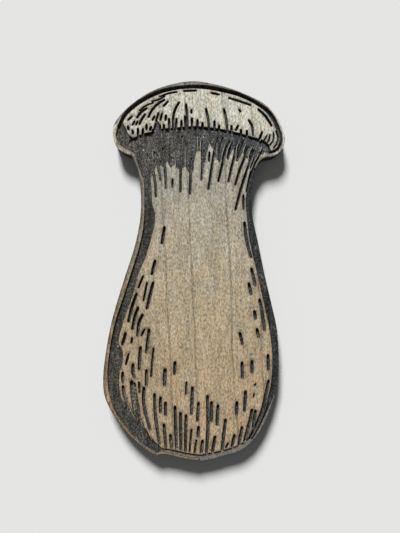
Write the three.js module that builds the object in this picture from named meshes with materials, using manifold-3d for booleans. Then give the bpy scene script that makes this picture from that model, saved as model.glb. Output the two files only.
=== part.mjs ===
// A flat wooden mushroom, cut and engraved from one piece of 1/8 inch board.
// X is across the stem, +Y runs from the foot to the cap, and +Z comes out of the
// engraved face. The origin is at the middle of the flat back. Sizes are millimetres.

import * as THREE from 'three';
import { mergeVertices } from 'three/addons/utils/BufferGeometryUtils.js';
import Module from 'manifold-3d';

const wasm = await Module();
wasm.setup();

// ---- Driving dimensions ----

const boardThickness = 3.2;   // one eighth of an inch
const shadeDepth = 0.4;       // broad areas that the engraving clears
const strokeDepth = 0.6;      // drawn lines, burnt a little deeper
const footDepth = 0.3;        // the lighter burn round the foot
const outlineStep = 0.9;      // longest facet along the outline
const shadeStep = 0.9;        // longest facet along a shaded area's edge
const strokeStep = 1.1;       // longest facet along a curved line
const cutterHeight = 0.5;     // how far the cutters reach above the face
const finestLine = 0.34;      // widths of the drawn lines
const fineLine = 0.44;
const plainLine = 0.52;
const broadLine = 0.64;
const gougeWidth = 0.78;
const contourWidth = 0.8;
const ridgeWidth = 0.2;       // thin lines of wood left standing between strokes
const endShare = 0.84;        // a drawn line's width at its ends, as a share of its fullest
const closestPoints = 0.02;   // outline points nearer than this are one point

// ---- Curves and solids ----

// A smooth run through a few places, broken into short facets.
function smoothRun(places, step) {
  const curve = new THREE.CatmullRomCurve3(
    places.map(([x, y]) => new THREE.Vector3(x, y, 0)), false, 'centripetal');
  const straight = places.length === 2;
  const facets = straight ? 2 : Math.max(2, Math.ceil(curve.getLength() / step));
  return curve.getSpacedPoints(facets).map((p) => new THREE.Vector2(p.x, p.y));
}

// Runs joined end to end into one closed outline, with a corner at each join.
function closedOutline(runs, step) {
  const outline = [];
  for (const run of runs) {
    for (const point of smoothRun(run, step)) {
      const last = outline[outline.length - 1];
      if (!last || last.distanceTo(point) > closestPoints) outline.push(point);
    }
  }
  if (outline[0].distanceTo(outline[outline.length - 1]) < closestPoints) outline.pop();
  return outline;
}

function prism(outline, bottom, height) {
  const geometry = new THREE.ExtrudeGeometry(
    new THREE.Shape(outline), { depth: height, bevelEnabled: false });
  geometry.translate(0, 0, bottom);
  geometry.deleteAttribute('normal');
  geometry.deleteAttribute('uv');
  const merged = mergeVertices(geometry);
  return new wasm.Manifold(new wasm.Mesh({
    numProp: 3,
    vertProperties: new Float32Array(merged.attributes.position.array),
    triVerts: new Uint32Array(merged.index.array),
  }));
}

// A drawn line with round ends, a little fuller in the middle than at its ends.
function lineOutline(places, width) {
  const path = smoothRun(places, strokeStep);
  const last = path.length - 1;
  const left = [];
  const right = [];
  path.forEach((point, i) => {
    const along = path[Math.min(i + 1, last)].clone().sub(path[Math.max(i - 1, 0)]).normalize();
    const across = new THREE.Vector2(-along.y, along.x);
    const half = 0.5 * width * (endShare + (1 - endShare) * Math.sin(Math.PI * i / last));
    // Points on a circle round this one, by their bearing from its left side.
    const around = (...bearings) => bearings.map(THREE.MathUtils.degToRad).map((turn) => point.clone()
      .addScaledVector(across, half * Math.cos(turn))
      .addScaledVector(along, half * Math.sin(turn)));
    if (i === 0) {
      left.push(...around(-90, -45, 0));
      right.push(...around(-135, 180));
    } else if (i === last) {
      left.push(...around(0, 45, 90));
      right.push(...around(180, 135));
    } else {
      left.push(...around(0));
      right.push(...around(180));
    }
  });
  return [...left, ...right.reverse()];
}

// The numbers of a drawn line, read as x, y places.
function toPlaces(numbers) {
  const places = [];
  for (let i = 0; i < numbers.length; i += 2) places.push([numbers[i], numbers[i + 1]]);
  return places;
}

const face = boardThickness;

const cutLine = (width, depth = strokeDepth) => (numbers) =>
  prism(lineOutline(toPlaces(numbers), width), face - depth, depth + cutterHeight);

const cutShade = (depth) => (runs) =>
  prism(closedOutline(runs, shadeStep), face - depth, depth + cutterHeight);

const keepLine = (width) => (numbers) =>
  prism(lineOutline(toPlaces(numbers), width), face - 2 * strokeDepth, 4 * strokeDepth);

const join = (solids) => solids.reduce((whole, solid) => whole.add(solid));

// ---- The board's outline ----

const capEdge = [
  [-12.5, 23.1], [-14.3, 23.8], [-15.6, 25], [-16.2, 27], [-16, 29.3], [-14, 32], [-11, 34.5],
  [-8, 36.2], [-4, 37.5], [0, 38], [4, 37.4], [8, 36.3], [12, 34.6], [14, 33.5], [16, 31.6],
  [17.3, 29.4], [18.2, 26.5], [17.7, 24.4], [16.2, 23.1], [14, 22.6],
];
const rightEdge = [
  [12.7, 21.3], [11.9, 18.6], [11.4, 14], [11.9, 10], [12.8, 6], [14, 0], [15.4, -6],
  [16.6, -11.5], [17, -17], [16.8, -22], [15.8, -26], [13.8, -31], [11.5, -34.3],
];
const footEdge = [
  [9, -36.1], [6.2, -36.9], [3, -37.8], [1, -38], [-2, -37.6], [-4.6, -37],
  [-6.7, -36.7],
];
const leftEdge = [
  [-7.2, -37], [-8.3, -36.6], [-10.6, -35], [-13.8, -32], [-16.6, -28], [-17.9, -25],
  [-18.2, -21.5], [-17.6, -16], [-16.4, -9.8], [-14.1, -2], [-12, 4.5], [-10.9, 9.5],
  [-10.6, 14], [-11, 19], [-11.7, 21.3], [-12.5, 23.1],
];
const boardOutline = closedOutline([[...capEdge, ...rightEdge, ...footEdge], leftEdge], outlineStep);

// ---- Areas that the engraving clears ----

// Under the cap: from the rim line down to the ragged ends of the gills.
const gillShade = [
  [[-15.2, 28.9], [-15.6, 27.2], [-15.2, 25.8], [-14.4, 24.8], [-12.6, 24], [-11.8, 23],
    [-11, 20.6], [-10.2, 18.6]],
  [[-10.2, 18.6], [-8.9, 18.4], [-7.9, 20.2]],
  [[-7.9, 20.2], [-7.6, 21.3]],
  [[-7.6, 21.3], [-7.1, 20.3]],
  [[-7.1, 20.3], [-6.6, 21.4]],
  [[-6.6, 21.4], [-6, 20.5], [-5.4, 22.2]],
  [[-5.4, 22.2], [-5, 21.2], [-4.6, 20.6]],
  [[-4.6, 20.6], [-3.9, 21.4]],
  [[-3.9, 21.4], [-3.4, 20.5], [-2.9, 20.2]],
  [[-2.9, 20.2], [-2.2, 20.6], [-1.7, 20.9]],
  [[-1.7, 20.9], [-1.3, 20.2], [-1, 19.6]],
  [[-1, 19.6], [-0.3, 19.8], [0, 21.8], [0.5, 23.9]],
  [[0.5, 23.9], [1.3, 24], [1.5, 21.5]],
  [[1.5, 21.5], [2.1, 21.6], [2.5, 23.4], [3.1, 25.7]],
  [[3.1, 25.7], [3.5, 24.8], [4.1, 24.3], [4.3, 22.6]],
  [[4.3, 22.6], [5.1, 22], [6.2, 23], [6.8, 22.3]],
  [[6.8, 22.3], [7.2, 23.2], [7.9, 24.6]],
  [[7.9, 24.6], [8.1, 23.2], [8.7, 21.9]],
  [[8.7, 21.9], [9.2, 22.8], [9.8, 23.9]],
  [[9.8, 23.9], [10.3, 22.8], [10.8, 22.4]],
  [[10.8, 22.4], [11, 21.6], [11.5, 20], [11.9, 20.8], [12.8, 22.6]],
  [[12.8, 22.6], [13.4, 23.3], [15.2, 23.5], [16.2, 23.9]],
  [[16.2, 23.9], [15.4, 24], [15, 25], [13.9, 25.9], [12.8, 26.3], [11, 26.8], [8, 27.6], [4, 28.3],
    [0, 28.6], [-4, 28.4], [-6.6, 28.3]],
  [[-6.6, 28.3], [-6.9, 29.4], [-7.4, 30.2]],
  [[-7.4, 30.2], [-8, 29.2], [-8.2, 27.8]],
  [[-8.2, 27.8], [-10, 27.2], [-12, 26.6], [-13, 27.2], [-13.7, 28.6], [-14.4, 29.9]],
];

// Down the left of the stem, half a millimetre inside the edge, widening at the foot.
const leftShade = [
  [[-10.9, 21], [-10.1, 18.8], [-9.9, 14], [-10.1, 9], [-11, 4.6], [-12.4, 0.2], [-14, -4.8],
    [-15.7, -10], [-16.8, -15.5], [-17.3, -21], [-16.8, -25.2], [-15.4, -28.8], [-12.6, -32.6],
    [-10, -35], [-7.6, -36.5]],
  [[-7.6, -36.5], [-6.6, -36.2], [-6.6, -35.3]],
  [[-6.6, -35.3], [-7.8, -34.2], [-9.4, -32], [-10.6, -30.4], [-13.3, -27.2], [-14.8, -24.4],
    [-14.9, -20.6], [-14.3, -18.2], [-14.3, -16], [-15.1, -14.4], [-14.2, -10.4], [-12.2, -4.6],
    [-11.2, -0.8], [-9.9, 2.3], [-8.7, 6], [-7.9, 9.6], [-7.8, 11.4], [-8.4, 13.2]],
  [[-8.4, 13.2], [-8.5, 16], [-8.8, 19.4]],
  [[-8.8, 19.4], [-9.8, 20.4], [-10.9, 21]],
];

// Down the right of the stem, running out over the board's edge.
const rightShade = [
  [[11.9, 20.6], [11.3, 18.8], [10.7, 16.6], [10.4, 13.4], [10.7, 10.2]],
  [[10.7, 10.2], [11.1, 6.2], [12, 2.2], [12.8, -1], [14.3, -7.8], [15.2, -12.2], [15.7, -17],
    [15.5, -22], [14.8, -25.4], [13.3, -29.4], [11.3, -33.1]],
  [[11.3, -33.1], [11.7, -33.6], [13.3, -31.2]],
  [[13.3, -31.2], [15.1, -27.4], [16.4, -24.2], [17.2, -21.6], [17.5, -17], [17.1, -11.5],
    [15.9, -6], [14.5, 0], [13.3, 6], [12.4, 10], [11.9, 14], [12.3, 18.6], [12.7, 20.4]],
];

// A lightly burnt ledge round the right of the foot, running out over the board's edge.
const footLedge = [
  [[16.5, -22.4], [14.8, -26.6], [13.1, -30.3], [11.7, -32.6], [10, -34.15], [7.6, -35.3],
    [4.8, -36.1], [1.6, -36.7]],
  [[1.6, -36.7], [0.6, -38.4]],
  [[0.6, -38.4], [3.2, -38.5], [6.4, -37.8], [9.6, -36.9], [12.6, -34.6], [14.8, -31.2],
    [16.8, -26.4], [17.9, -22]],
  [[17.9, -22], [16.5, -22.4]],
];

// ---- Drawn lines: each is a list of x, y places that the line runs through ----

const capContour = [
  [-15, 28.8, -14, 31, -12, 33, -9, 34.9, -6, 36.1, -3, 36.7],
  [-3, 36.7, 0, 36.9, 3, 36.7, 6, 36.1, 9, 35.3, 12, 33.9],
  [12, 33.9, 14, 32.6, 15.5, 31.1, 16.6, 29, 17.3, 27.2],
];
const lobeContour = [[17.3, 27.2, 17.5, 26.2, 17.1, 24.9, 16.4, 24.1, 15.2, 23.7]];
const rimLine = [
  [-13.2, 25.2, -13, 26, -12, 26.4, -10.2, 27.2, -8.1, 27.7],
  [-6.7, 28.2, -3, 28.5, 0, 28.7, 4, 28.35, 8, 27.6, 11, 26.8, 13.1, 26.2],
  [13.3, 26.2, 14, 25.8, 14.8, 25.1, 15, 24.3],
];

// Short ticks that stand on the rim line.
const rimTicks = [
  [-13.1, 28.3, -13.2, 28.9], [-12.2, 27.5, -12.3, 28.1], [-11.2, 27, -11.2, 28.4],
  [-10.3, 27.3, -10.2, 28.4], [-9.5, 28.3, -9.5, 29.2], [-8.8, 28.2, -8.6, 28.8],
  [-8.3, 27.6, -8.2, 28.2], [-6.8, 28.3, -6.8, 29.1], [-6, 28.3, -6, 29.2],
  [-4.9, 28.5, -5, 30.4], [-3.6, 28.6, -3.5, 30.4], [-2.5, 28.6, -2.5, 30],
  [-1.65, 28.7, -1.8, 30.9], [-0.4, 28.7, -0.4, 30.5], [0.7, 28.7, 0.7, 30.2],
  [1.7, 28.6, 1.7, 29.6], [4.1, 28.4, 4.1, 29.9], [5, 28.3, 5, 29.1], [7.5, 27.8, 7.5, 29],
  [8.4, 28.2, 8.8, 29], [9.4, 27.4, 9.4, 28.2], [10.6, 27, 10.6, 28], [13.1, 26.3, 13.6, 27.7],
];

// Long strokes that run up the cap from its rim, and their echoes near its top.
const capStrokes = [
  [-11.4, 30.7, -10.6, 31.8, -9.5, 32.5], [-10.9, 29.4, -10.5, 30.3, -9.8, 31.3],
  [-9.1, 30.8, -8.6, 31.9, -7.4, 33.3, -6, 34.2], [-5.7, 30.2, -5.6, 31.1],
  [-4.2, 28.6, -4.1, 31, -3.8, 32.3, -3, 33.7], [-1.6, 33.3, -1.4, 31.5, -1.3, 28.8],
  [2.4, 32.4, 2.8, 30.6, 3, 28.6], [6, 32.3, 6.4, 30.6, 6.7, 28],
  [11, 30.1, 11.6, 29, 11.8, 27.2], [12.9, 32.3, 14.2, 31.1, 15.5, 29.1],
];
const capEchoes = [
  [-13.2, 30.2, -12.4, 30.9], [-12.3, 29.2, -11.9, 29.9], [-11.6, 29.3, -11.3, 29.9],
  [-6.1, 33, -5.2, 33.9], [-8.3, 30.2, -7.9, 30.9], [-7.6, 30, -7.1, 31.6],
  [-6.7, 30.2, -6.4, 31.5], [-0.5, 31.6, -0.5, 32.2], [9, 32.3, 9.3, 31.9],
  [-2, 36, 0.4, 36.1], [3.5, 35.6, 5, 35.3], [7, 34.6, 9, 34, 11.3, 33.2],
];
const capHairlines = [
  [-10.9, 32.1, -9.6, 33.1, -8.2, 33.6], [-8.4, 33.9, -7, 34.3, -5.9, 34.9],
  [-6.8, 34.9, -5.2, 35.5, -3.4, 35.8],
];
const lobeStrokes = [
  [13.9, 25.9, 14.3, 26.5, 14.6, 27.1], [14.5, 25.4, 15, 26.1, 15.2, 27.2],
  [15.2, 25.2, 15.9, 26.1, 15.9, 27.6], [15.9, 24.6, 16.6, 25.5, 16.8, 26.6, 16.4, 28],
];

// Lines that hang from under the cap and fan out towards it.
const neckStrokes = [
  [-9.4, 23.4, -8.4, 20.8, -7.8, 18, -7.6, 14.9], [-6.3, 24.6, -5.9, 21.5, -5.7, 19, -5.6, 16.6],
  [-2.4, 27, -2.6, 22.4, -2.7, 15.9], [-0.6, 22.6, -0.7, 18.5, -0.8, 15.5], [1.6, 26, 1.7, 21, 1.5, 18.3],
  [4.8, 26.8, 4.1, 24, 3.6, 21, 2.9, 16.5], [5.8, 26.8, 5.3, 25, 5.1, 22],
  [7.1, 26, 6.3, 24, 5.6, 21, 4.9, 18], [8.7, 25.8, 8.1, 23, 7.5, 20.6, 6.9, 17.9],
  [10.9, 24.9, 10.1, 22.6, 9, 19.8, 8.3, 17.3], [12, 24.2, 10.9, 21, 9.7, 17.5, 8.3, 12.3],
  [13.4, 23.7, 12.2, 21.6, 11.3, 19.4, 10.6, 16],
];
const shortNeckStrokes = [
  [-8, 23.8, -7.2, 21, -6.7, 18.2], [-4.3, 18.3, -4.3, 16.8], [3.1, 23.7, 3, 22],
  [7.7, 25.8, 7.2, 24.4, 6.8, 22.4], [10, 26.2, 9.3, 24.2, 8.6, 22.1], [9.9, 15.1, 9.9, 12.4],
];

// Dashes on the left of the stem, following its swelling side.
const leftStrokes = [
  [-5.9, 8.7, -6.4, 5.6], [-7.8, 2, -8.4, -0.6], [-8.2, -2.4, -8.7, -4.5, -9.4, -7.5],
  [-11.5, -4.6, -12.4, -7.2, -13.1, -10.1], [-11.2, -7.4, -11.7, -8.7, -12.3, -11.6],
  [-10.3, -8.8, -10.9, -10, -11.3, -12.9], [-9, -11.8, -9.5, -16.3],
  [-13.7, -12.5, -14.3, -14.7], [-10.7, -15.3, -11, -19.7], [-12.2, -18.7, -12.2, -20.6, -11.9, -21.4],
  [-9.5, -19.9, -9.5, -22.9], [-3.8, -18.3, -3.9, -20.6], [-14.3, -20.4, -14.2, -22.3],
  [-14.2, -23.1, -13.9, -25, -12.3, -28.9], [-10, -23.4, -10.1, -26, -9.7, -28.4, -8.8, -31.7],
];
const leftHairlines = [
  [-10.2, -1.1, -11.1, -3.3], [-9.4, -2.4, -10.1, -5.9], [-9.9, -11.7, -10.5, -12.9],
  [-8.1, -15.5, -8.6, -21.1], [-12.4, -13.4, -12.5, -14.4], [-13.1, -16.6, -13.6, -18.7],
  [-11, -22.3, -10.9, -24.3],
];
const leftGouges = [
  [-5.8, -19.8, -5.9, -22.8], [-12.5, -22.2, -12.2, -25.5, -11.6, -29.8],
  [-12, -22.6, -11.6, -25.6, -11, -28.6, -10.3, -31],
];

// Dashes that stand in the foot.
const footStrokes = [
  [-7.9, -24.7, -7.7, -29, -6.9, -34.6], [-6.7, -25.4, -6.7, -28.3], [-5.7, -26.4, -5.7, -28.8],
  [-6, -30.8, -5.6, -35.2], [-4.7, -32.9, -4.5, -35.3], [-3.8, -27.2, -3.5, -35.6],
  [-2.7, -28.5, -2.6, -35.8], [-1.6, -29, -1.7, -36], [-0.3, -23.4, -0.5, -28.6],
  [0.9, -26.5, 0.7, -29.9], [0.9, -31.3, 0.8, -33.2], [1.7, -34, 1.5, -36.3],
  [2.7, -25.1, 2.8, -31, 2.5, -36.3], [3.5, -26.3, 3.5, -30], [4.8, -27, 4.6, -30.7],
  [4.2, -33.2, 3.7, -36.2], [6.3, -29.8, 5.6, -35.8], [8.1, -32.9, 7.6, -35.1],
  [8.6, -26.3, 8.5, -28.8], [9.6, -31.3, 9, -34.8], [10.3, -24.2, 10.1, -28],
  [11.6, -27.8, 11.3, -29.5, 10.1, -34], [12.3, -28, 11.8, -31.3],
];
const footHairlines = [
  [-1.5, -22.3, -1.6, -24.6], [-0.5, -31.8, -0.9, -36.2], [0.5, -33.9, 0.1, -36.4],
  [6.8, -34.5, 6.4, -35.3],
];
const footContour = [
  [-7, -35.8, -5, -36, -2, -36.7, 0.6, -37.1, 2.6, -37.1],
];

// Dashes on the right of the stem.
const rightWedge = [[10.1, 9.6, 10.4, 7, 10.8, 4.9, 11.4, 2.8]];
const rightStrokes = [
  [11.5, 0.4, 11.8, -0.8, 12.2, -2.8], [11, -2.6, 11.4, -4.6], [13.1, -5.8, 13.5, -7.5, 14.1, -11.8],
  [12.1, -8.1, 12.3, -9.5], [12.6, -11.7, 12.9, -13.2], [9.2, -12.5, 9.7, -14.6],
  [11.6, -18.1, 11.6, -20.3], [9.6, -18.4, 9.7, -21.4], [14.8, -16.9, 14.9, -19.7],
  [14.9, -22, 14.3, -25, 13.6, -28, 12.2, -31.4, 11.1, -33.6],
];
const rightHairlines = [[12.3, -22.6, 12.2, -22.9], [12, -24.6, 11.9, -25.2]];

// ---- Thin lines of wood left standing inside the cleared areas ----

const gillRidges = [
  [-4.1, 23.7, -3.8, 22.6, -3.7, 20.5], [-1.8, 24.3, -1.7, 22.2, -1.8, 20.4],
  [1.4, 26.6, 1.3, 25, 1.2, 23.6], [0.7, 26.8, 0.8, 23.6],
  [4.6, 25.6, 4.6, 22.4], [6.3, 25.6, 5.7, 23.6, 5.3, 21.6], [7.3, 25.6, 6.7, 24.2, 6.4, 22.6],
  [9, 25.8, 8.5, 24.6, 8.4, 22.2], [10.4, 25.4, 9.9, 24.2, 9.8, 23.4],
  [11.7, 24.9, 11, 23.6, 10.8, 22], [12, 23.2, 11.4, 21.6, 10.7, 19.6],
  [12.9, 23.4, 12.1, 21.9, 11.3, 20], [13.6, 24.8, 13.2, 23.9], [-8.4, 23.6, -8.1, 22.4],
  [-7, 23.6, -6.7, 22.2],
];
const lobeRidges = [
  [14.2, 26, 14.7, 26.6, 14.8, 27.3], [14.8, 25.5, 15.5, 26.3, 15.6, 27.4],
  [15.6, 25.3, 16.2, 26.1, 16.3, 27.4], [16.3, 24.6, 17, 25.7, 17.1, 26.7, 16.9, 27.6],
  [13.2, 26.1, 13.7, 26.8, 14, 27.6], [15.5, 24.3, 15.8, 24.6],
];
const sideRidges = [
  [-14.7, -24.8, -13.8, -27.2], [-13.3, -25.6, -12.9, -27.2, -11.7, -29.8],
  [-10.8, -26.8, -10.5, -29.2, -8.4, -33.8],
  [14.9, -25.4, 14, -28.4, 12.6, -31.6, 11.5, -33.4],
];

// ---- The board with its drawing cut in ----

function engravedBoard() {
  const deepLines = join([
    ...capContour.map(cutLine(contourWidth)),
    ...lobeContour.map(cutLine(plainLine)),
    ...rimLine.map(cutLine(plainLine)),
    ...rimTicks.map(cutLine(plainLine)),
    ...capStrokes.map(cutLine(plainLine)),
    ...capEchoes.map(cutLine(fineLine)),
    ...capHairlines.map(cutLine(finestLine)),
    ...lobeStrokes.map(cutLine(finestLine)),
    ...neckStrokes.map(cutLine(plainLine)),
    ...shortNeckStrokes.map(cutLine(fineLine)),
    ...leftStrokes.map(cutLine(broadLine)),
    ...leftHairlines.map(cutLine(fineLine)),
    ...leftGouges.map(cutLine(gougeWidth)),
    ...footStrokes.map(cutLine(broadLine)),
    ...footHairlines.map(cutLine(fineLine)),
    ...footContour.map(cutLine(contourWidth, footDepth)),
    ...rightWedge.map(cutLine(broadLine)),
    ...rightStrokes.map(cutLine(broadLine)),
    ...rightHairlines.map(cutLine(finestLine)),
  ]);
  const shades = join([
    ...[gillShade, leftShade, rightShade].map(cutShade(shadeDepth)),
    ...[footLedge].map(cutShade(footDepth)),
  ]);
  const ridges = join([...gillRidges, ...lobeRidges, ...sideRidges].map(keepLine(ridgeWidth)));
  const board = prism(boardOutline, 0, boardThickness);
  return board.subtract(shades.add(deepLines).subtract(ridges));
}

function toGeometry(solid) {
  const mesh = solid.getMesh();
  const geometry = new THREE.BufferGeometry();
  geometry.setAttribute('position', new THREE.BufferAttribute(mesh.vertProperties, mesh.numProp));
  geometry.setIndex(new THREE.BufferAttribute(mesh.triVerts, 1));
  return geometry;
}

const lightMaple = new THREE.MeshStandardMaterial({ color: 0xb3a48c, roughness: 0.7, metalness: 0 });
const mushroom = new THREE.Mesh(toGeometry(engravedBoard()), lightMaple);
mushroom.name = 'engraved_mushroom_board';

const part = new THREE.Group();
part.add(mushroom);

export default part;
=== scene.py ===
"""A flat wooden mushroom, laser cut and engraved: maple grain, burnt engraving and charred edges."""

import math

import bmesh
import bpy
from mathutils import Matrix, Vector, noise
from mathutils.bvhtree import BVHTree


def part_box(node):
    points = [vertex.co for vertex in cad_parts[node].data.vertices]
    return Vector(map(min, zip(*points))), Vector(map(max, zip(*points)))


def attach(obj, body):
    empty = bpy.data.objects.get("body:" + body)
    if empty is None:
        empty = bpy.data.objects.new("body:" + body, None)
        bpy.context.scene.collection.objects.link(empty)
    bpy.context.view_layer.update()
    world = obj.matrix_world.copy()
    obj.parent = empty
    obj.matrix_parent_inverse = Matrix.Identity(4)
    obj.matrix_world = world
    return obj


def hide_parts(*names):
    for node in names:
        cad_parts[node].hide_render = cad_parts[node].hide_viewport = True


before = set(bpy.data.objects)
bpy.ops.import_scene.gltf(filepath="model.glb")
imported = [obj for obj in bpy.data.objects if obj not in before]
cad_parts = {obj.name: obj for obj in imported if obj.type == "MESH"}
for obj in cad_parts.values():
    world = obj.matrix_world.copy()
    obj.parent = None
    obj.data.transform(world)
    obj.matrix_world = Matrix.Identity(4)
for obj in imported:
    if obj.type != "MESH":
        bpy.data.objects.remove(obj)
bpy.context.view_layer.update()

MM = 0.001
BOARD = "engraved_mushroom_board"
low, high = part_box(BOARD)
LEFT, RIGHT, FOOT, CAP = low.x / MM, high.x / MM, low.y / MM, high.y / MM
FACE = high.z / MM              # height of the engraved face

# The board is worked on in millimetres and shrunk at the end.
SHADE_DEPTH = 0.4               # the cleared areas, below the face
STROKE_DEPTH = 0.6              # the drawn lines, below the face
FOOT_DEPTH = 0.3                # the lighter burn round the foot, below the face
RIM_ROUND = 0.06                # rounding of the burnt edges
FACE_GRID = 0.8                 # mesh spacing on the face
BACK_GRID = 1.2                 # mesh spacing on the back
FLOOR_GRID = 0.26               # mesh spacing on the engraved floors and the cut wall
WALL_ROW = 0.4                  # height of one row of the cut wall
TAPER = 0.05                    # how far an engraved wall leans in at its foot
FLOOR_ROUGHNESS = 0.07
WALL_ROUGHNESS = 0.045
RIM_RAGGEDNESS = 0.03
SCORCH_WIDTH = 0.12             # reach of the brown halo round an engraved line
EDGE_WIDTH = 0.42               # how far the charring reaches in from the cut edge at its least
EDGE_SPREAD = 1.6               # how much further it reaches where it is blackest
BLACK_EDGE = 0.3                # the sooty line along most of the cut edge
PALE_EDGE = 0.35                # the painted highlight line along the sides of the cap
PALE_RIM = 1.3                  # how far in the darker rim behind the painted highlight line reaches
SMOKE_WIDTH = 1.6               # reach of the smoke stain on the back
CUT_TOLERANCE = 0.0004          # how near a cut passes a corner before it uses it
SAME_HEIGHT = 0.01              # corners within this of a height lie at it
LEVEL = 0.9                     # a face whose normal rises by more than this is level
CUT_WALL_TOP = FACE - STROKE_DEPTH - 0.1        # below every engraved floor: only the cut wall is here


# ---- Modelling helpers ----

def select_only(piece):
    bpy.ops.object.select_all(action="DESELECT")
    piece.select_set(True)
    bpy.context.view_layer.objects.active = piece


def pick(piece, kind, wanted):
    """Selects the faces or edges that are wanted, and nothing else."""
    bpy.ops.mesh.select_mode(type=kind)
    bpy.ops.mesh.select_all(action="DESELECT")
    mesh = bmesh.from_edit_mesh(piece.data)
    for item in mesh.faces if kind == "FACE" else mesh.edges:
        if wanted(item):
            item.select_set(True)
    bmesh.update_edit_mesh(piece.data)


def only_show(piece, wanted):
    """Hides every face but the wanted ones, so that cuts pass the others by."""
    bpy.ops.mesh.reveal(select=False)
    pick(piece, "FACE", lambda face: not wanted(face))
    bpy.ops.mesh.hide(unselected=False)


def cut_across(axis, start, end, pitch):
    """Cuts whatever isn't hidden by evenly spaced planes across one axis."""
    normal = Vector((axis == "X", axis == "Y", axis == "Z"))
    count = int((end - start) / pitch)
    first = start + (end - start - count * pitch) / 2
    for i in range(count + 1):
        bpy.ops.mesh.select_all(action="SELECT")
        bpy.ops.mesh.bisect(plane_co=normal * (first + i * pitch), plane_no=normal, threshold=CUT_TOLERANCE)


def is_level(face):
    return abs(face.normal.z) > LEVEL


def lies_at(face, height):
    return all(abs(corner.co.z - height) < SAME_HEIGHT for corner in face.verts)


def is_back(face):
    return is_level(face) and lies_at(face, 0)


def is_floor(face):
    return face.normal.z > LEVEL and not lies_at(face, FACE)


def is_cut_wall(face):
    return not is_level(face) and min(corner.co.z for corner in face.verts) < CUT_WALL_TOP


def has_turned_over(face):
    """Whether an upper face has come to point downwards."""
    return face.normal.z < -0.1 and not is_back(face) and face.calc_center_median().z > 1


def is_rim(edge):
    """An edge of the engraved face or of the back, where a level face meets a wall."""
    if sum(is_level(face) for face in edge.link_faces) != 1:
        return False
    return any(all(abs(end.co.z - height) < SAME_HEIGHT / 10 for end in edge.verts) for height in (0, FACE))


# ---- The board ----

def mend(board):
    """Joins each thin face that a bevel or a cut has turned over to the one across its longest edge."""
    def is_longest(edge):
        turned = [face for face in edge.link_faces if has_turned_over(face)]
        return any(edge.calc_length() == max(side.calc_length() for side in face.edges) for face in turned)
    for _ in range(2):
        pick(board, "EDGE", is_longest)
        bpy.ops.mesh.dissolve_edges(use_verts=False)


def cut_up_board(board):
    """Rounds the rims and gives each surface a mesh fine enough for its roughness."""
    select_only(board)
    bpy.ops.object.mode_set(mode="EDIT")
    bpy.ops.mesh.select_all(action="SELECT")
    bpy.ops.mesh.remove_doubles(threshold=0.015)
    bpy.ops.mesh.dissolve_limited(angle_limit=math.radians(0.3), use_dissolve_boundaries=False)
    mend(board)
    pick(board, "EDGE", is_rim)
    bpy.ops.mesh.bevel(offset=RIM_ROUND, segments=2, profile=0.5, clamp_overlap=False, loop_slide=False)
    mend(board)
    only_show(board, is_back)
    cut_across("X", LEFT, RIGHT, BACK_GRID)
    cut_across("Y", FOOT, CAP, BACK_GRID)
    only_show(board, lambda face: not is_back(face))
    cut_across("X", LEFT, RIGHT, FACE_GRID)
    cut_across("Y", FOOT, CAP, FACE_GRID)
    mend(board)
    only_show(board, lambda face: is_floor(face) or is_cut_wall(face))
    cut_across("X", LEFT, RIGHT, FLOOR_GRID)
    cut_across("Y", FOOT, CAP, FLOOR_GRID)
    only_show(board, is_cut_wall)
    cut_across("Z", WALL_ROW / 2, FACE - STROKE_DEPTH, WALL_ROW)
    mend(board)
    bpy.ops.mesh.reveal(select=False)
    bpy.ops.object.mode_set(mode="OBJECT")


def crust(place, size, along_grain):
    """Uneven burning at one size, drawn out along the grain, from about -1 to 1."""
    return noise.noise(Vector((place.x / size, place.y / size / along_grain, place.z / size)))


SMALL_PIT = 0.34                # breadth of the pits in an engraved floor
BROAD_PIT = 0.8                 # breadth of the shallower hollows among them
LEDGE_SHARE = 0.15              # how pitted the burn round the foot is, beside the other floors
RIM_DEPTH = 0.08                # how far down from the face a rounded rim reaches


def flutes(place):
    """How far the cut wall stands out at a place: upright flutes, broader burns and a slight waste."""
    upright = noise.noise(Vector((place.x / 0.3, place.y / 0.3, place.z / 3)))
    broad = noise.noise(Vector((place.x / 1.4, place.y / 1.4, place.z / 0.9)))
    return 0.7 * upright + 0.5 * broad - 0.6


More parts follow.
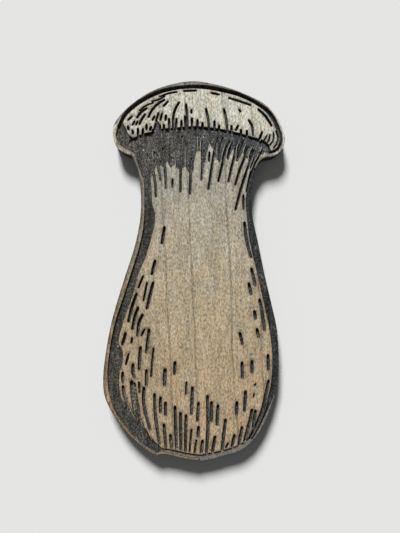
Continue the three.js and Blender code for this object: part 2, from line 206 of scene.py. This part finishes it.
def roughen(board):
    """Pits the engraved floors, scores the cut wall and leans the engraved walls in at their feet."""
    mesh = bmesh.new()
    mesh.from_mesh(board.data)
    floors = (FACE - SHADE_DEPTH, FACE - STROKE_DEPTH, FACE - FOOT_DEPTH)
    moves = {}
    for corner in mesh.verts:
        place = corner.co
        level = [face for face in corner.link_faces if is_level(face)]
        walls = [face for face in corner.link_faces if not is_level(face)]
        on_cut_wall = any(is_cut_wall(face) for face in walls)
        outward = sum((Vector((face.normal.x, face.normal.y, 0)) for face in walls), Vector())
        if outward.length > 0.01:
            outward.normalize()
        floor = any(abs(place.z - height) < SAME_HEIGHT for height in floors)
        if level and not walls and floor:
            elsewhere = place + Vector((9, 4, 0))
            pits = crust(place, SMALL_PIT, 1.6) + 0.6 * crust(elsewhere, BROAD_PIT, 2.4)
            on_ledge = place.z > FACE - FOOT_DEPTH - SAME_HEIGHT
            moves[corner] = Vector((0, 0, FLOOR_ROUGHNESS * (LEDGE_SHARE if on_ledge else 1) * pits))
        elif level and walls and floor and not on_cut_wall:
            moves[corner] = outward * (TAPER + RIM_RAGGEDNESS * crust(place, 0.5, 1.2))
        elif on_cut_wall and not level and place.z < FACE - STROKE_DEPTH:
            moves[corner] = outward * (WALL_ROUGHNESS * flutes(place))
        elif place.z > FACE - RIM_DEPTH:
            moves[corner] = outward * (RIM_RAGGEDNESS * (crust(place, 0.4, 1.2) - 0.3))
    for corner, move in moves.items():
        corner.co += move
    mesh.to_mesh(board.data)
    mesh.free()


# How charred the cut edge is round the outline: 0 is bare, 1 is black, more than 1 is black further in, and
# below 0 is a painted highlight along the edge, where the rounded rim catches the light, with a darker band
# behind it.
EDGE_MARKS = [
    (-12.5, 33.2, 0.9), (-5, 37.2, 0.85), (3, 37.6, 0.75), (9, 36, 0.6), (13, 34.2, 0.0), (17, 30, -0.5),
    (18, 26.5, -0.6), (16, 23.2, -0.4), (13, 21.8, 0.4), (11.6, 15, 0.95), (13, 5, 1.0), (16.8, -14, 1.05),
    (15.6, -24, 1.4), (12.6, -31.6, 1.6), (8, -36.2, 0.7), (1, -37.9, 0.45), (-7, -36.7, 0.3),
    (-13, -33, 0.2), (-17.6, -25, 0.3), (-17.8, -17, 0.45), (-15, -5, 0.8), (-12, 4.5, 0.8),
    (-10.7, 13, 0.6), (-11.7, 21.3, 0.2), (-14.5, 24, -0.4), (-16.2, 27.5, -0.5), (-15.4, 30.5, 0.0),
]
HIGHLIGHT_BELOW = -0.2                  # an edge less burnt than this gets a painted highlight
WIDER_BURN = 0.6                # an edge more burnt than this is charred further in
LINE_SEARCH = 1                 # how far off an engraved line still matters
EDGE_SEARCH = 8                 # how far off the cut edge still matters


def nearest_edge_marks(place):
    """The char of the nearest stretches of edge, below 0 a painted highlight, each counting for more the
    nearer it is.
    """
    total = weights = 0
    for x, y, burn in EDGE_MARKS:
        weight = 1 / ((place.x - x) ** 2 + (place.y - y) ** 2 + 0.5) ** 2
        total += weight * burn
        weights += weight
    return total / weights


def edge_char_and_highlight(burn, from_edge):
    """How black the face is at a distance from the cut edge: below 0 it is a painted highlight, with a darker
    band behind it.
    """
    reach = EDGE_WIDTH + EDGE_SPREAD * max(0, burn - WIDER_BURN)
    if burn > HIGHLIGHT_BELOW:
        spread = burn * max(0, 1 - from_edge / reach) ** 0.6
        return min(1, max(spread, max(0, 1 - from_edge / BLACK_EDGE) ** 0.5))
    if from_edge < PALE_RIM:
        return min(1, -burn * min(1.3, 3.4 * (from_edge - PALE_EDGE)))
    return 0


def record_burns_and_highlights(board):
    """Writes how burnt the board is at each point: char where the laser cut, heat marks beside it, and the
    painted highlight along the sides of the cap.
    """
    mesh = board.data
    places = [corner.co.copy() for corner in mesh.vertices]
    steep = [face.vertices for face in mesh.polygons if abs(face.normal.z) < 0.8]
    outer = [corners for corners in steep if min(places[i].z for i in corners) < CUT_WALL_TOP]
    inner = [corners for corners in steep if min(places[i].z for i in corners) >= CUT_WALL_TOP]
    engraving = BVHTree.FromPolygons(places, inner)
    cut_wall = BVHTree.FromPolygons(places, outer)
    marks = {"char": [], "scorch": [], "edge": [], "smoke": []}
    for place in places:
        on_back = place.z < 2 * SAME_HEIGHT
        from_line = engraving.find_nearest(place, LINE_SEARCH)[3]
        from_edge = cut_wall.find_nearest(place, EDGE_SEARCH)[3]
        from_line = LINE_SEARCH if from_line is None else from_line
        from_edge = EDGE_SEARCH if from_edge is None else from_edge
        below_face = (FACE - place.z - 0.002) / 0.018
        near_edge = 0.5 + 0.5 * max(0, 1 - from_edge)
        marks["char"].append(0 if on_back else min(1, max(0, below_face)))
        marks["scorch"].append(math.exp(-from_line / SCORCH_WIDTH) * near_edge)
        # The edge mark is char, and below 0 a painted highlight on the edge.
        marks["edge"].append(0 if on_back else edge_char_and_highlight(nearest_edge_marks(place), from_edge))
        marks["smoke"].append(math.exp(-from_edge / SMOKE_WIDTH) if on_back else 0)
    for name, values in marks.items():
        mesh.attributes.new(name, "FLOAT", "POINT").data.foreach_set("value", values)


def lay_out_map(board):
    """Flattens the board for texture baking: the face, the back, and the cut wall in four strips."""
    mesh = board.data
    layer = mesh.uv_layers.new(name="OFBake")
    gap = 1.0
    width = RIGHT - LEFT
    length = CAP - FOOT
    back_at = width + gap
    strips_at = back_at + width + gap
    side = max(strips_at + 2 * (FACE + gap), length + 2 * (FACE + gap)) + 2 * gap
    for face in mesh.polygons:
        turned = face.normal
        for loop in face.loop_indices:
            x, y, z = mesh.vertices[mesh.loops[loop].vertex_index].co
            if turned.z > 0.03:
                flat = (x - LEFT, y - FOOT)
            elif turned.z < -0.7:
                flat = (back_at + RIGHT - x, y - FOOT)
            elif abs(turned.x) > abs(turned.y):
                flat = (strips_at + z + (turned.x > 0) * (FACE + gap), y - FOOT)
            else:
                flat = (x - LEFT, length + gap + z + (turned.y > 0) * (FACE + gap))
            layer.uv[loop].vector = ((flat[0] + gap) / side, (flat[1] + gap) / side)


def make_board():
    """Works up a copy of the CAD board in millimetres, then shrinks it back to its true size."""
    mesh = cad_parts[BOARD].data.copy()
    mesh.materials.clear()
    mesh.transform(Matrix.Scale(1 / MM, 4))
    board = bpy.data.objects.new("mushroom_board", mesh)
    bpy.context.scene.collection.objects.link(board)
    cut_up_board(board)
    record_burns_and_highlights(board)
    roughen(board)
    lay_out_map(board)
    board.data.transform(Matrix.Scale(MM, 4))
    select_only(board)
    bpy.ops.object.shade_smooth_by_angle(angle=math.radians(38))
    return board


# ---- Material building ----

def place_node(tree, kind, sockets=None, **settings):
    """Adds a shader node. A socket is given a value, or the output that feeds it."""
    made = tree.nodes.new("ShaderNode" + kind)
    for name, value in settings.items():
        setattr(made, name, value)
    for name, value in (sockets or {}).items():
        if isinstance(value, bpy.types.NodeSocket):
            tree.links.new(value, made.inputs[name])
        else:
            made.inputs[name].default_value = value
    return made


def new_group(name, inputs, outputs):
    tree = bpy.data.node_groups.new(name, "ShaderNodeTree")
    for label, kind, value in inputs:
        socket = tree.interface.new_socket(label, in_out="INPUT", socket_type="NodeSocket" + kind)
        if value is not None:
            socket.default_value = value
    for label, kind in outputs:
        tree.interface.new_socket(label, in_out="OUTPUT", socket_type="NodeSocket" + kind)
    return tree, tree.nodes.new("NodeGroupInput").outputs, tree.nodes.new("NodeGroupOutput").inputs


def use_group(tree, group, sockets):
    made = tree.nodes.new("ShaderNodeGroup")
    made.node_tree = group
    for name, value in sockets.items():
        if isinstance(value, bpy.types.NodeSocket):
            tree.links.new(value, made.inputs[name])
        else:
            made.inputs[name].default_value = value
    return made.outputs


def rgb(red, green, blue):
    """A colour given as it looks on a screen, from 0 to 255, for a shader socket."""
    channels = [c / 255 for c in (red, green, blue)]
    return [c / 12.92 if c <= 0.04045 else ((c + 0.055) / 1.055) ** 2.4 for c in channels] + [1]


def ramp(tree, value, stops):
    """A colour ramp from (position, colour) stops. Returns its colour."""
    made = place_node(tree, "ValToRGB", {"Fac": value})
    while len(made.color_ramp.elements) < len(stops):
        made.color_ramp.elements.new(0.5)
    for element, (position, colour) in zip(made.color_ramp.elements, stops):
        element.position = position
        element.color = colour
    return made.outputs["Color"]


def blend_colours(tree, kind, share, first, second):
    """Mixes two colours in the given way, by a share of the second."""
    made = tree.nodes.new("ShaderNodeMix")
    made.data_type = "RGBA"
    made.blend_type = kind
    for socket, value in zip((made.inputs[0], made.inputs[6], made.inputs[7]), (share, first, second)):
        if isinstance(value, bpy.types.NodeSocket):
            tree.links.new(value, socket)
        else:
            socket.default_value = value
    return made.outputs[2]


def sums(tree, kind, first, second, third=0.0):
    """One step of arithmetic, named as in the Math node."""
    made = place_node(tree, "Math", operation=kind)
    for socket, value in zip(made.inputs, (first, second, third)):
        if isinstance(value, bpy.types.NodeSocket):
            tree.links.new(value, socket)
        else:
            socket.default_value = value
    return made.outputs[0]


def stretched(tree, place, scale, turn=0.0):
    """Places on the board, stretched and turned a little, so that a pattern runs with the grain."""
    return place_node(tree, "Mapping", {"Vector": place, "Scale": scale, "Rotation": (0, 0, turn)}).outputs[0]


def mottle(tree, place, scale, detail, roughness):
    """Soft noise from about 0 to 1. The scale is in blobs to the millimetre."""
    sockets = {"Vector": place, "Scale": scale, "Detail": detail, "Roughness": roughness}
    return place_node(tree, "TexNoise", sockets).outputs["Fac"]


def stretch_values(tree, value, start, end, low_end, high_end):
    """Spreads a value's range from start to end over another range."""
    return place_node(tree, "MapRange", {
        "Value": value, "From Min": start, "From Max": end,
        "To Min": low_end, "To Max": high_end}).outputs[0]


def scaled(tree, colour, share):
    """A colour, or a place, made so many times as large."""
    return place_node(tree, "VectorMath", {"Vector": colour, "Scale": share}, operation="SCALE").outputs[0]


GRAIN_TURN = math.radians(-2.5)     # the grain runs a little off the stem's axis
GROWTH_LINES = (-11.6, -5.6, -0.4, 7.2, 12.8)      # where they cross the middle of the stem
GROWTH_LINE_WIDTH = 0.3


def maple_grain_group():
    """Fine flecks, soft figure and faint growth lines that all run along the board."""
    tree, given, out = new_group(
        "maple_grain",
        [("Place", "Vector", None), ("Fleck size", "Float", 0.25)],
        [(name, "Float") for name in ("Flecks", "Figure", "Tint", "Lines", "Height")])
    along = stretched(tree, given["Place"], (1, 0.46, 1), GRAIN_TURN)
    fine = mottle(tree, along, sums(tree, "DIVIDE", 1.0, given["Fleck size"]), 2.0, 0.5)
    fibres = mottle(tree, stretched(tree, given["Place"], (1, 0.12, 1), GRAIN_TURN), 2.6, 2.0, 0.6)
    flecks = sums(tree, "MULTIPLY_ADD", fibres, 0.3, sums(tree, "MULTIPLY", fine, 0.7))
    figure = mottle(tree, stretched(tree, given["Place"], (1, 0.4, 1)), 0.3, 3.0, 0.55)
    tint = mottle(tree, stretched(tree, given["Place"], (1, 0.35, 1)), 0.75, 3.0, 0.6)

    wander = mottle(tree, stretched(tree, given["Place"], (0.1, 0.06, 1)), 1.0, 2.0, 0.5)
    turned = stretched(tree, given["Place"], (1, 1, 1), GRAIN_TURN)
    across = place_node(tree, "SeparateXYZ", {"Vector": turned}).outputs[0]
    across = sums(tree, "MULTIPLY_ADD", sums(tree, "SUBTRACT", wander, 0.5), 1.6, across)
    lines = 0.0
    for line in GROWTH_LINES:
        off = sums(tree, "ABSOLUTE", sums(tree, "SUBTRACT", across, line), 0.0)
        lines = sums(tree, "MAXIMUM", lines, stretch_values(tree, off, 0.0, GROWTH_LINE_WIDTH, 1.0, 0.0))

    pores = mottle(tree, stretched(tree, given["Place"], (1, 0.2, 1), GRAIN_TURN), 9.0, 2.0, 0.6)
    height = sums(tree, "MULTIPLY_ADD", pores, 0.4, sums(tree, "MULTIPLY", fine, 0.6))
    results = {"Flecks": flecks, "Figure": figure, "Tint": tint, "Lines": lines, "Height": height}
    for name, result in results.items():
        tree.links.new(result, out[name])
    return tree


def char_crust_group():
    """Charred wood: speckled soot with streaks along the grain, pale ash caught in it, and blisters."""
    tree, given, out = new_group(
        "char_crust",
        [("Place", "Vector", None), ("Blister size", "Float", 0.19), ("Ash", "Float", 0.06)],
        [(name, "Float") for name in ("Soot", "Streaks", "Ash", "Height")])
    along = stretched(tree, given["Place"], (1, 0.6, 0.25), GRAIN_TURN)
    blisters = mottle(tree, along, sums(tree, "DIVIDE", 1.0, given["Blister size"]), 2.0, 0.55)
    streaks = mottle(tree, stretched(tree, given["Place"], (1, 0.1, 1), GRAIN_TURN), 1.3, 2.0, 0.5)
    specks = place_node(tree, "TexVoronoi", {"Vector": along, "Scale": 1.15, "Randomness": 1.0})
    small = stretch_values(tree, specks.outputs["Distance"], 0.09, 0.15, 1.0, 0.0)
    rare = place_node(tree, "SeparateColor", {"Color": specks.outputs["Color"]})
    chosen = sums(tree, "GREATER_THAN", rare.outputs[0], sums(tree, "SUBTRACT", 1.0, given["Ash"]))
    ash = sums(tree, "MULTIPLY", small, chosen)
    for name, result in {"Soot": blisters, "Streaks": streaks, "Ash": ash, "Height": blisters}.items():
        tree.links.new(result, out[name])
    return tree


def engraved_maple():
    """Pale maple that darkens to char wherever the laser went."""
    material = bpy.data.materials.new("engraved_maple")
    material.use_nodes = True
    tree = material.node_tree
    tree.nodes.clear()
    place = scaled(tree, place_node(tree, "TexCoord").outputs["Object"], 1 / MM)
    x, y, z = place_node(tree, "SeparateXYZ", {"Vector": place}).outputs
    burns = {name: place_node(tree, "Attribute", attribute_name=name).outputs["Fac"]
             for name in ("char", "scorch", "edge", "smoke")}
    grain = use_group(tree, maple_grain_group(), {"Place": place, "Fleck size": 0.25})
    burnt = use_group(tree, char_crust_group(), {"Place": place, "Blister size": 0.19, "Ash": 0.06})

    # Bare wood: greyer towards the cap, browner towards the foot. The cap's extra brightness and grey are
    # partly the wood's own tone and partly painted light from the top.
    along = stretch_values(tree, y, FOOT, CAP, 0.0, 1.0)
    wood = ramp(tree, along, [
        (0.0, rgb(176, 156, 126)), (0.17, rgb(177, 158, 129)), (0.27, rgb(171, 154, 127)),
        (0.42, rgb(174, 161, 135)), (0.58, rgb(175, 166, 145)), (0.7, rgb(164, 160, 146)),
        (0.87, rgb(182, 181, 168))])
    tint = blend_colours(
        tree, "MIX", stretch_values(tree, grain["Tint"], 0.35, 0.65, 0.0, 1.0),
        rgb(247, 250, 254), rgb(255, 247, 238))
    wood = blend_colours(tree, "MULTIPLY", 1.0, wood, tint)
    # Painted highlight: the bright flecks grow brighter over the cap, a sheen that stands in for light.
    painted_cap_highlight = stretch_values(tree, y, 22.0, 28.0, 1.66, 2.1)
    flecks = stretch_values(tree, grain["Flecks"], 0.3, 0.7, 0.36, painted_cap_highlight)
    figure = stretch_values(tree, grain["Figure"], 0.3, 0.7, 0.86, 1.12)
    lines = sums(tree, "MULTIPLY_ADD", grain["Lines"], -0.4, 1.0)
    toned = scaled(tree, wood, sums(tree, "MULTIPLY", sums(tree, "MULTIPLY", flecks, figure), lines))

    # Heat marks: a faint brown halo round the lines, a charred edge, and smoke on the back. Along the sides
    # of the cap the edge gets a painted highlight instead of char.
    scorched = blend_colours(tree, "MULTIPLY", burns["scorch"], toned, rgb(150, 130, 112))
    highlighted_edge = scaled(tree, scorched, stretch_values(tree, burns["edge"], -0.6, 0.0, 2.0, 1.0))
    edge_share = sums(tree, "MAXIMUM", burns["edge"], 0.0)
    edged = blend_colours(tree, "MIX", edge_share, highlighted_edge, scaled(tree, rgb(74, 67, 59)[:3], flecks))
    smoked = blend_colours(tree, "MULTIPLY", burns["smoke"], edged, rgb(128, 96, 70))

    # Char: grey brown under the cap and darker towards the right side, partly deeper burn and partly painted
    # shade, blacker on the cut wall, with specks of pale ash.
    soot = ramp(tree, burnt["Soot"], [
        (0.3, rgb(27, 27, 27)), (0.44, rgb(60, 59, 58)), (0.56, rgb(86, 85, 82)), (0.7, rgb(133, 132, 126))])
    streaks = stretch_values(tree, burnt["Streaks"], 0.35, 0.65, 0.6, 1.36)
    char_and_shade_to_right = stretch_values(tree, x, -12.0, 14.0, 0.72, 0.42)
    in_gills = stretch_values(tree, x, -8.0, 10.0, 1.12, 0.95)
    under_cap = stretch_values(tree, y, 12.0, 24.0, 0.0, 1.0)
    burn = place_node(tree, "Mix", {0: under_cap, 2: char_and_shade_to_right, 3: in_gills}, data_type="FLOAT").outputs[0]
    # Stroke floors: painted light lifts them down the stem, where their narrow walls shade them. Under the
    # cap they are darker, partly deeper char and partly painted shade.
    stroke_light_and_shade = stretch_values(tree, y, 14.0, 26.0, 1.6, 0.75)
    stroke_floor = FACE - STROKE_DEPTH
    shade_floor = FACE - SHADE_DEPTH
    depth = stretch_values(tree, z, stroke_floor + 0.04, shade_floor - 0.06, stroke_light_and_shade, 1.0)
    on_wall = stretch_values(tree, z, stroke_floor - 0.2, stroke_floor - 0.1, 0.55, 1.0)
    darkening = sums(tree, "MULTIPLY", sums(tree, "MULTIPLY", burn, depth), streaks)
    darkening = sums(tree, "MULTIPLY", darkening, on_wall)
    warmth = stretch_values(tree, x, -14.0, 8.0, 0.0, 1.0)
    soot_tint = blend_colours(tree, "MIX", warmth, rgb(255, 249, 236), rgb(238, 246, 255))
    tinted = blend_colours(tree, "MULTIPLY", 1.0, scaled(tree, soot, darkening), soot_tint)

    # The shallow burn round the foot is paler than the other floors.
    ledge_top = FACE - FOOT_DEPTH
    above_shades = stretch_values(tree, z, shade_floor + 0.02, ledge_top - 0.02, 0.0, 1.0)
    below_rims = stretch_values(tree, z, ledge_top + 0.03, ledge_top + 0.07, 0.75, 0.0)
    ledge = sums(tree, "MULTIPLY", above_shades, below_rims)
    tinted = blend_colours(tree, "MIX", ledge, tinted, scaled(tree, rgb(128, 122, 112)[:3], flecks))
    ashy = blend_colours(tree, "MIX", burnt["Ash"], tinted, rgb(200, 200, 188))
    colour = blend_colours(tree, "MIX", burns["char"], smoked, ashy)

    roughness = sums(tree, "MULTIPLY_ADD", grain["Flecks"], -0.2, 0.74)
    rough = place_node(tree, "Mix", {0: burns["char"], 2: roughness, 3: 0.9}, data_type="FLOAT").outputs[0]
    wood_height = sums(tree, "MULTIPLY", grain["Height"], 0.35)
    height = place_node(
        tree, "Mix", {0: burns["char"], 2: wood_height, 3: burnt["Height"]}, data_type="FLOAT").outputs[0]
    bump = place_node(tree, "Bump", {"Height": height, "Strength": 0.8, "Distance": 0.08 * MM})
    shader = place_node(tree, "BsdfPrincipled", {
        "Base Color": colour, "Roughness": rough, "Normal": bump.outputs[0], "Specular IOR Level": 0.2})
    surface = tree.nodes.new("ShaderNodeOutputMaterial").inputs["Surface"]
    tree.links.new(shader.outputs[0], surface)
    return material


# ---- The studio ----

FILL = 0.1                          # strength of the light from all round
BACKDROP = 0.78                     # brightness of the world where it shows past the floor
FLOOR_SIZE = 8                      # metres


def pale_floor():
    bpy.ops.mesh.primitive_plane_add(size=FLOOR_SIZE, location=(0, 0, 0))
    floor = bpy.context.object
    floor.name = "studio_floor"
    material = bpy.data.materials.new("pale_floor")
    material.use_nodes = True
    shader = material.node_tree.nodes["Principled BSDF"]
    shader.inputs["Base Color"].default_value = (0.78, 0.78, 0.77, 1)
    shader.inputs["Roughness"].default_value = 1
    shader.inputs["Specular IOR Level"].default_value = 0
    floor.data.materials.append(material)


def soft_light(name, azimuth, elevation, spread, strength):
    """A broad, even light from a compass bearing (0 is past the cap) and a height."""
    light = bpy.data.lights.new(name, "SUN")
    light.angle = math.radians(spread)
    light.energy = strength
    lamp = bpy.data.objects.new(name, light)
    bpy.context.scene.collection.objects.link(lamp)
    bearing, rise = math.radians(azimuth), math.radians(elevation)
    level = math.cos(rise)
    lamp.location = Vector((math.sin(bearing) * level, math.cos(bearing) * level, math.sin(rise)))
    lamp.rotation_euler = (-lamp.location).to_track_quat("-Z", "Y").to_euler()


def pale_backdrop():
    """A world that looks pale beyond the floor, but lights the board only faintly."""
    world = bpy.data.worlds.new("studio")
    bpy.context.scene.world = world
    world.use_nodes = True
    tree = world.node_tree
    seen = place_node(tree, "LightPath").outputs["Is Camera Ray"]
    backdrop = tree.nodes["Background"].inputs
    backdrop["Color"].default_value = (1, 1, 1, 1)
    tree.links.new(stretch_values(tree, seen, 0.0, 1.0, FILL, BACKDROP), backdrop["Strength"])


def studio():
    pale_floor()
    pale_backdrop()
    soft_light("key_light", azimuth=-12, elevation=32, spread=15.3, strength=5.35)
    bpy.context.scene.view_settings.view_transform = "Standard"


def straight_down_camera():
    """Hangs a hand's breadth over the board, a little to the right of its middle."""
    camera = bpy.data.cameras.new("camera")
    camera.lens = 30.8
    camera.sensor_width = 36
    camera.clip_start = 0.005
    eye = bpy.data.objects.new("camera", camera)
    eye.location = (0.0012, 0.0009, high.z + 0.0912)
    bpy.context.scene.collection.objects.link(eye)
    bpy.context.scene.camera = eye


straight_down_camera()
studio()
board = make_board()
board.data.materials.append(engraved_maple())
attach(board, "root")
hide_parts(BOARD)
